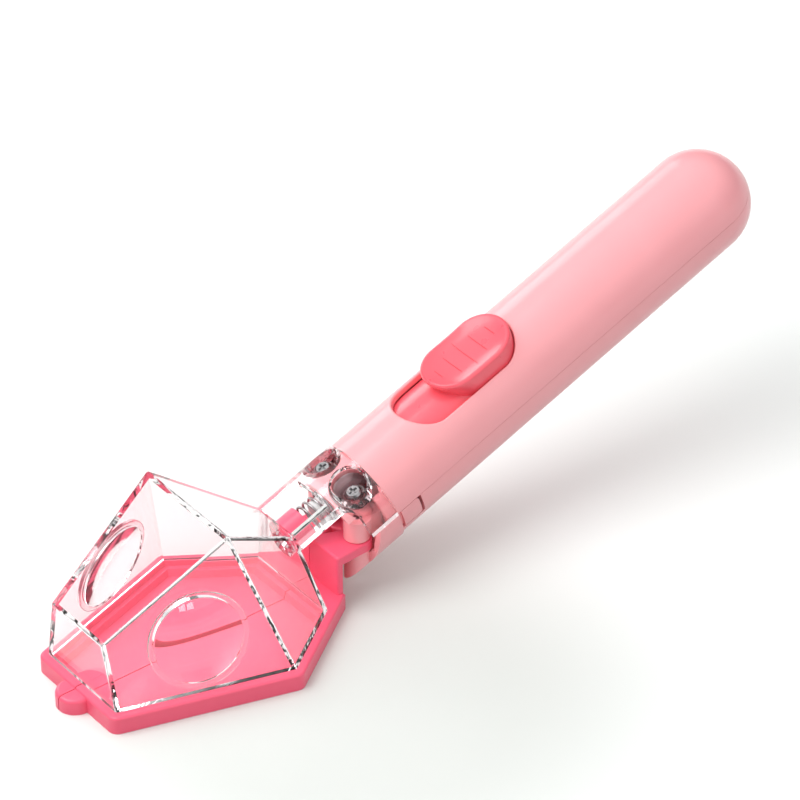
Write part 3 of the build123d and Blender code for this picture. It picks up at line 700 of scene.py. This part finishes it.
def combined(body, tools):
    """The body's mesh after adding or cutting these closed meshes, one after another."""
    work = bpy.data.objects.new("work", body)
    bpy.context.scene.collection.objects.link(work)
    helpers = []
    for operation, mesh in tools:
        helper = bpy.data.objects.new("helper", mesh)
        bpy.context.scene.collection.objects.link(helper)
        helpers.append(helper)
        modifier = work.modifiers.new("combine", "BOOLEAN")
        modifier.operation = operation
        modifier.solver = "EXACT"
        modifier.object = helper
    result = bpy.data.meshes.new_from_object(work.evaluated_get(bpy.context.evaluated_depsgraph_get()))
    for helper in [work, *helpers]:
        bpy.data.objects.remove(helper)
    return result


def dished_slider(hollow_rings=18):
    """The slider with a smooth hollow and grooves in its thumb rest, which the CAD model has in a step."""
    lid = rest_surface(rest_half_length) + rest_fill_depth
    fill = column(rest_outline(fill_inset), [1], lambda x, y: rest_height - rest_fill_depth, lid)
    shares = [step / hollow_rings for step in range(1, hollow_rings + 1)] + [hollow_overrun_share]
    hollow = column(rest_outline(hollow_inset), shares, hollow_surface, lid + rest_fill_depth)
    tools = [
        ("UNION", closed_mesh("fill", fill)),
        ("DIFFERENCE", closed_mesh("hollow", hollow)),
        ("DIFFERENCE", closed_mesh("grooves", groove_strips())),
    ]
    body = closed_mesh("slider_skin", skin_of(frame["nodes"]["thumb_slider"].data))
    piece = new_piece("slider_moulding", skin_of(combined(body, tools)), "slider", "slider_coral")
    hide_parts("thumb_slider")


def world_direction(tree):
    """Direction of the place in the world that is looked at, as X, Y and Z."""
    split = tree.nodes.new("ShaderNodeSeparateXYZ")
    place = tree.nodes.new("ShaderNodeTexCoord")
    tree.links.new(place.outputs["Generated"], split.inputs["Vector"])
    return split.outputs


def studio_walls(tree):
    """What gloss and clear plastic mirror round the table: white above, a dark band low down the walls."""
    stops = [(height, (grey, grey, grey)) for height, grey in wall_greys]
    return ramped(tree, world_direction(tree)["Z"], stops)


def studio_flags(tree):
    """Upright dark flags on white walls, which the edges of clear pieces bend into thin lines."""
    direction = world_direction(tree)
    turn = number_from(tree, "ARCTAN2", direction["Y"], direction["X"])
    wave = number_from(tree, "SINE", number_from(tree, "MULTIPLY", turn, flag_count))
    return fitted(tree, wave, flag_edge, flag_edge + flag_fade, 1.0, flag_grey)


def background(tree, colour):
    """World shader of this colour."""
    shader = tree.nodes.new("ShaderNodeBackground")
    feed(tree, shader.inputs["Color"], colour)
    return shader.outputs["Background"]


def surroundings():
    """White light from all round, the walls that gloss and clear plastic show, and a pale backdrop."""
    world = bpy.data.worlds.new("studio")
    bpy.context.scene.world = world
    world.use_nodes = True
    tree = world.node_tree
    path = tree.nodes.new("ShaderNodeLightPath").outputs
    mirrored = blended(
        tree, path["Transmission Depth"], studio_walls(tree), studio_flags(tree), blend="LIGHTEN"
    )
    sharp = number_from(tree, "MAXIMUM", path["Is Glossy Ray"], path["Is Transmission Ray"])
    ambient = tree.nodes["Background"]
    fill_in(tree, ambient, {"Color": (*white, 1), "Strength": ambient_level})
    walls = either(tree, sharp, ambient.outputs["Background"], background(tree, mirrored))
    seen = either(tree, path["Is Camera Ray"], walls, background(tree, (*backdrop_colour, 1)))
    tree.links.new(seen, tree.nodes["World Output"].inputs["Surface"])


def floor_share(tree, start, end):
    """Share that grows from 0 to 1 over the table, between these distances from its middle."""
    distance = measure_from(tree, "DISTANCE", own_place(tree), floor_middle)
    return fitted(tree, distance, start, end, interpolation="SMOOTHSTEP")


def table_white_and_painted_shade(tree):
    """The table's white, with painted shade that makes it a little greyer round the object than further out."""
    share = floor_share(tree, floor_near_radius, floor_far_radius)
    return blended(tree, share, (*floor_painted_shade, 1), (*floor_far, 1))


def floor_material():
    """Pale matt table, shown white to the camera and in what mirrors it, also beyond the lamps' reach, with
    painted shade round the object.
    """
    material, tree, shader = node_material("floor")
    path = tree.nodes.new("ShaderNodeLightPath").outputs
    clear = number_from(tree, "MAXIMUM", path["Is Transmission Ray"], path["Is Glossy Ray"])
    shown = number_from(tree, "MAXIMUM", path["Is Camera Ray"], clear)
    plain = tinted(tree, noise(tree, speckle_scale), floor_colour, floor_speckle)
    beyond = floor_share(tree, floor_dim_radius, floor_end_radius)
    faint = number_from(tree, "MULTIPLY", beyond, floor_end_glow)
    fill_in(tree, shader, {
        "Base Color": blended(tree, shown, plain, table_white_and_painted_shade(tree)),
        "Roughness": floor_roughness,
        "Specular IOR Level": floor_gloss,
        "Emission Color": (*white, 1),
        "Emission Strength": number_from(tree, "MULTIPLY", faint, shown),
    })
    return material


def table():
    """Wide floor just under the object."""
    bpy.ops.mesh.primitive_plane_add(size=floor_size, location=(0, 0, -floor_drop))
    floor = bpy.context.object
    floor.name = "floor"
    floor.data.materials.append(floor_material())


def lamp(name, place, size, power):
    """Square area lamp that shines at the point the camera looks at."""
    data = bpy.data.lights.new(name, "AREA")
    data.size = size
    data.energy = power
    light = bpy.data.objects.new(name, data)
    light.location = place
    light.rotation_euler = (place - camera_target).to_track_quat("Z", "Y").to_euler()
    bpy.context.scene.collection.objects.link(light)


def photo_camera():
    """The camera of the photograph."""
    level = cos(camera_elevation)
    back = Vector((sin(camera_azimuth) * level, -cos(camera_azimuth) * level, sin(camera_elevation)))
    data = bpy.data.cameras.new("camera")
    data.sensor_width = sensor_mm
    data.lens = focal_pixels / image_pixels * sensor_mm
    data.clip_end = camera_reach
    camera = bpy.data.objects.new("camera", data)
    camera.location = camera_target + back * camera_distance
    camera.rotation_euler = back.to_track_quat("Z", "Y").to_euler()
    bpy.context.scene.collection.objects.link(camera)
    bpy.context.scene.camera = camera


def studio():
    """Surroundings, table, lamps, the panes of a window and the camera."""
    surroundings()
    table()
    for name, (place, size, power) in lamps.items():
        lamp(name, place, size, power)
    for pane in (-1, 1):
        lamp("window", window_place + window_side * pane, window_size, window_power)
    photo_camera()


studio()
dress_nodes()
return_spring()
magnifier("near_lens", -1)
magnifier("far_lens", 1)
dished_slider()
bpy.context.scene.view_settings.view_transform = "Standard"
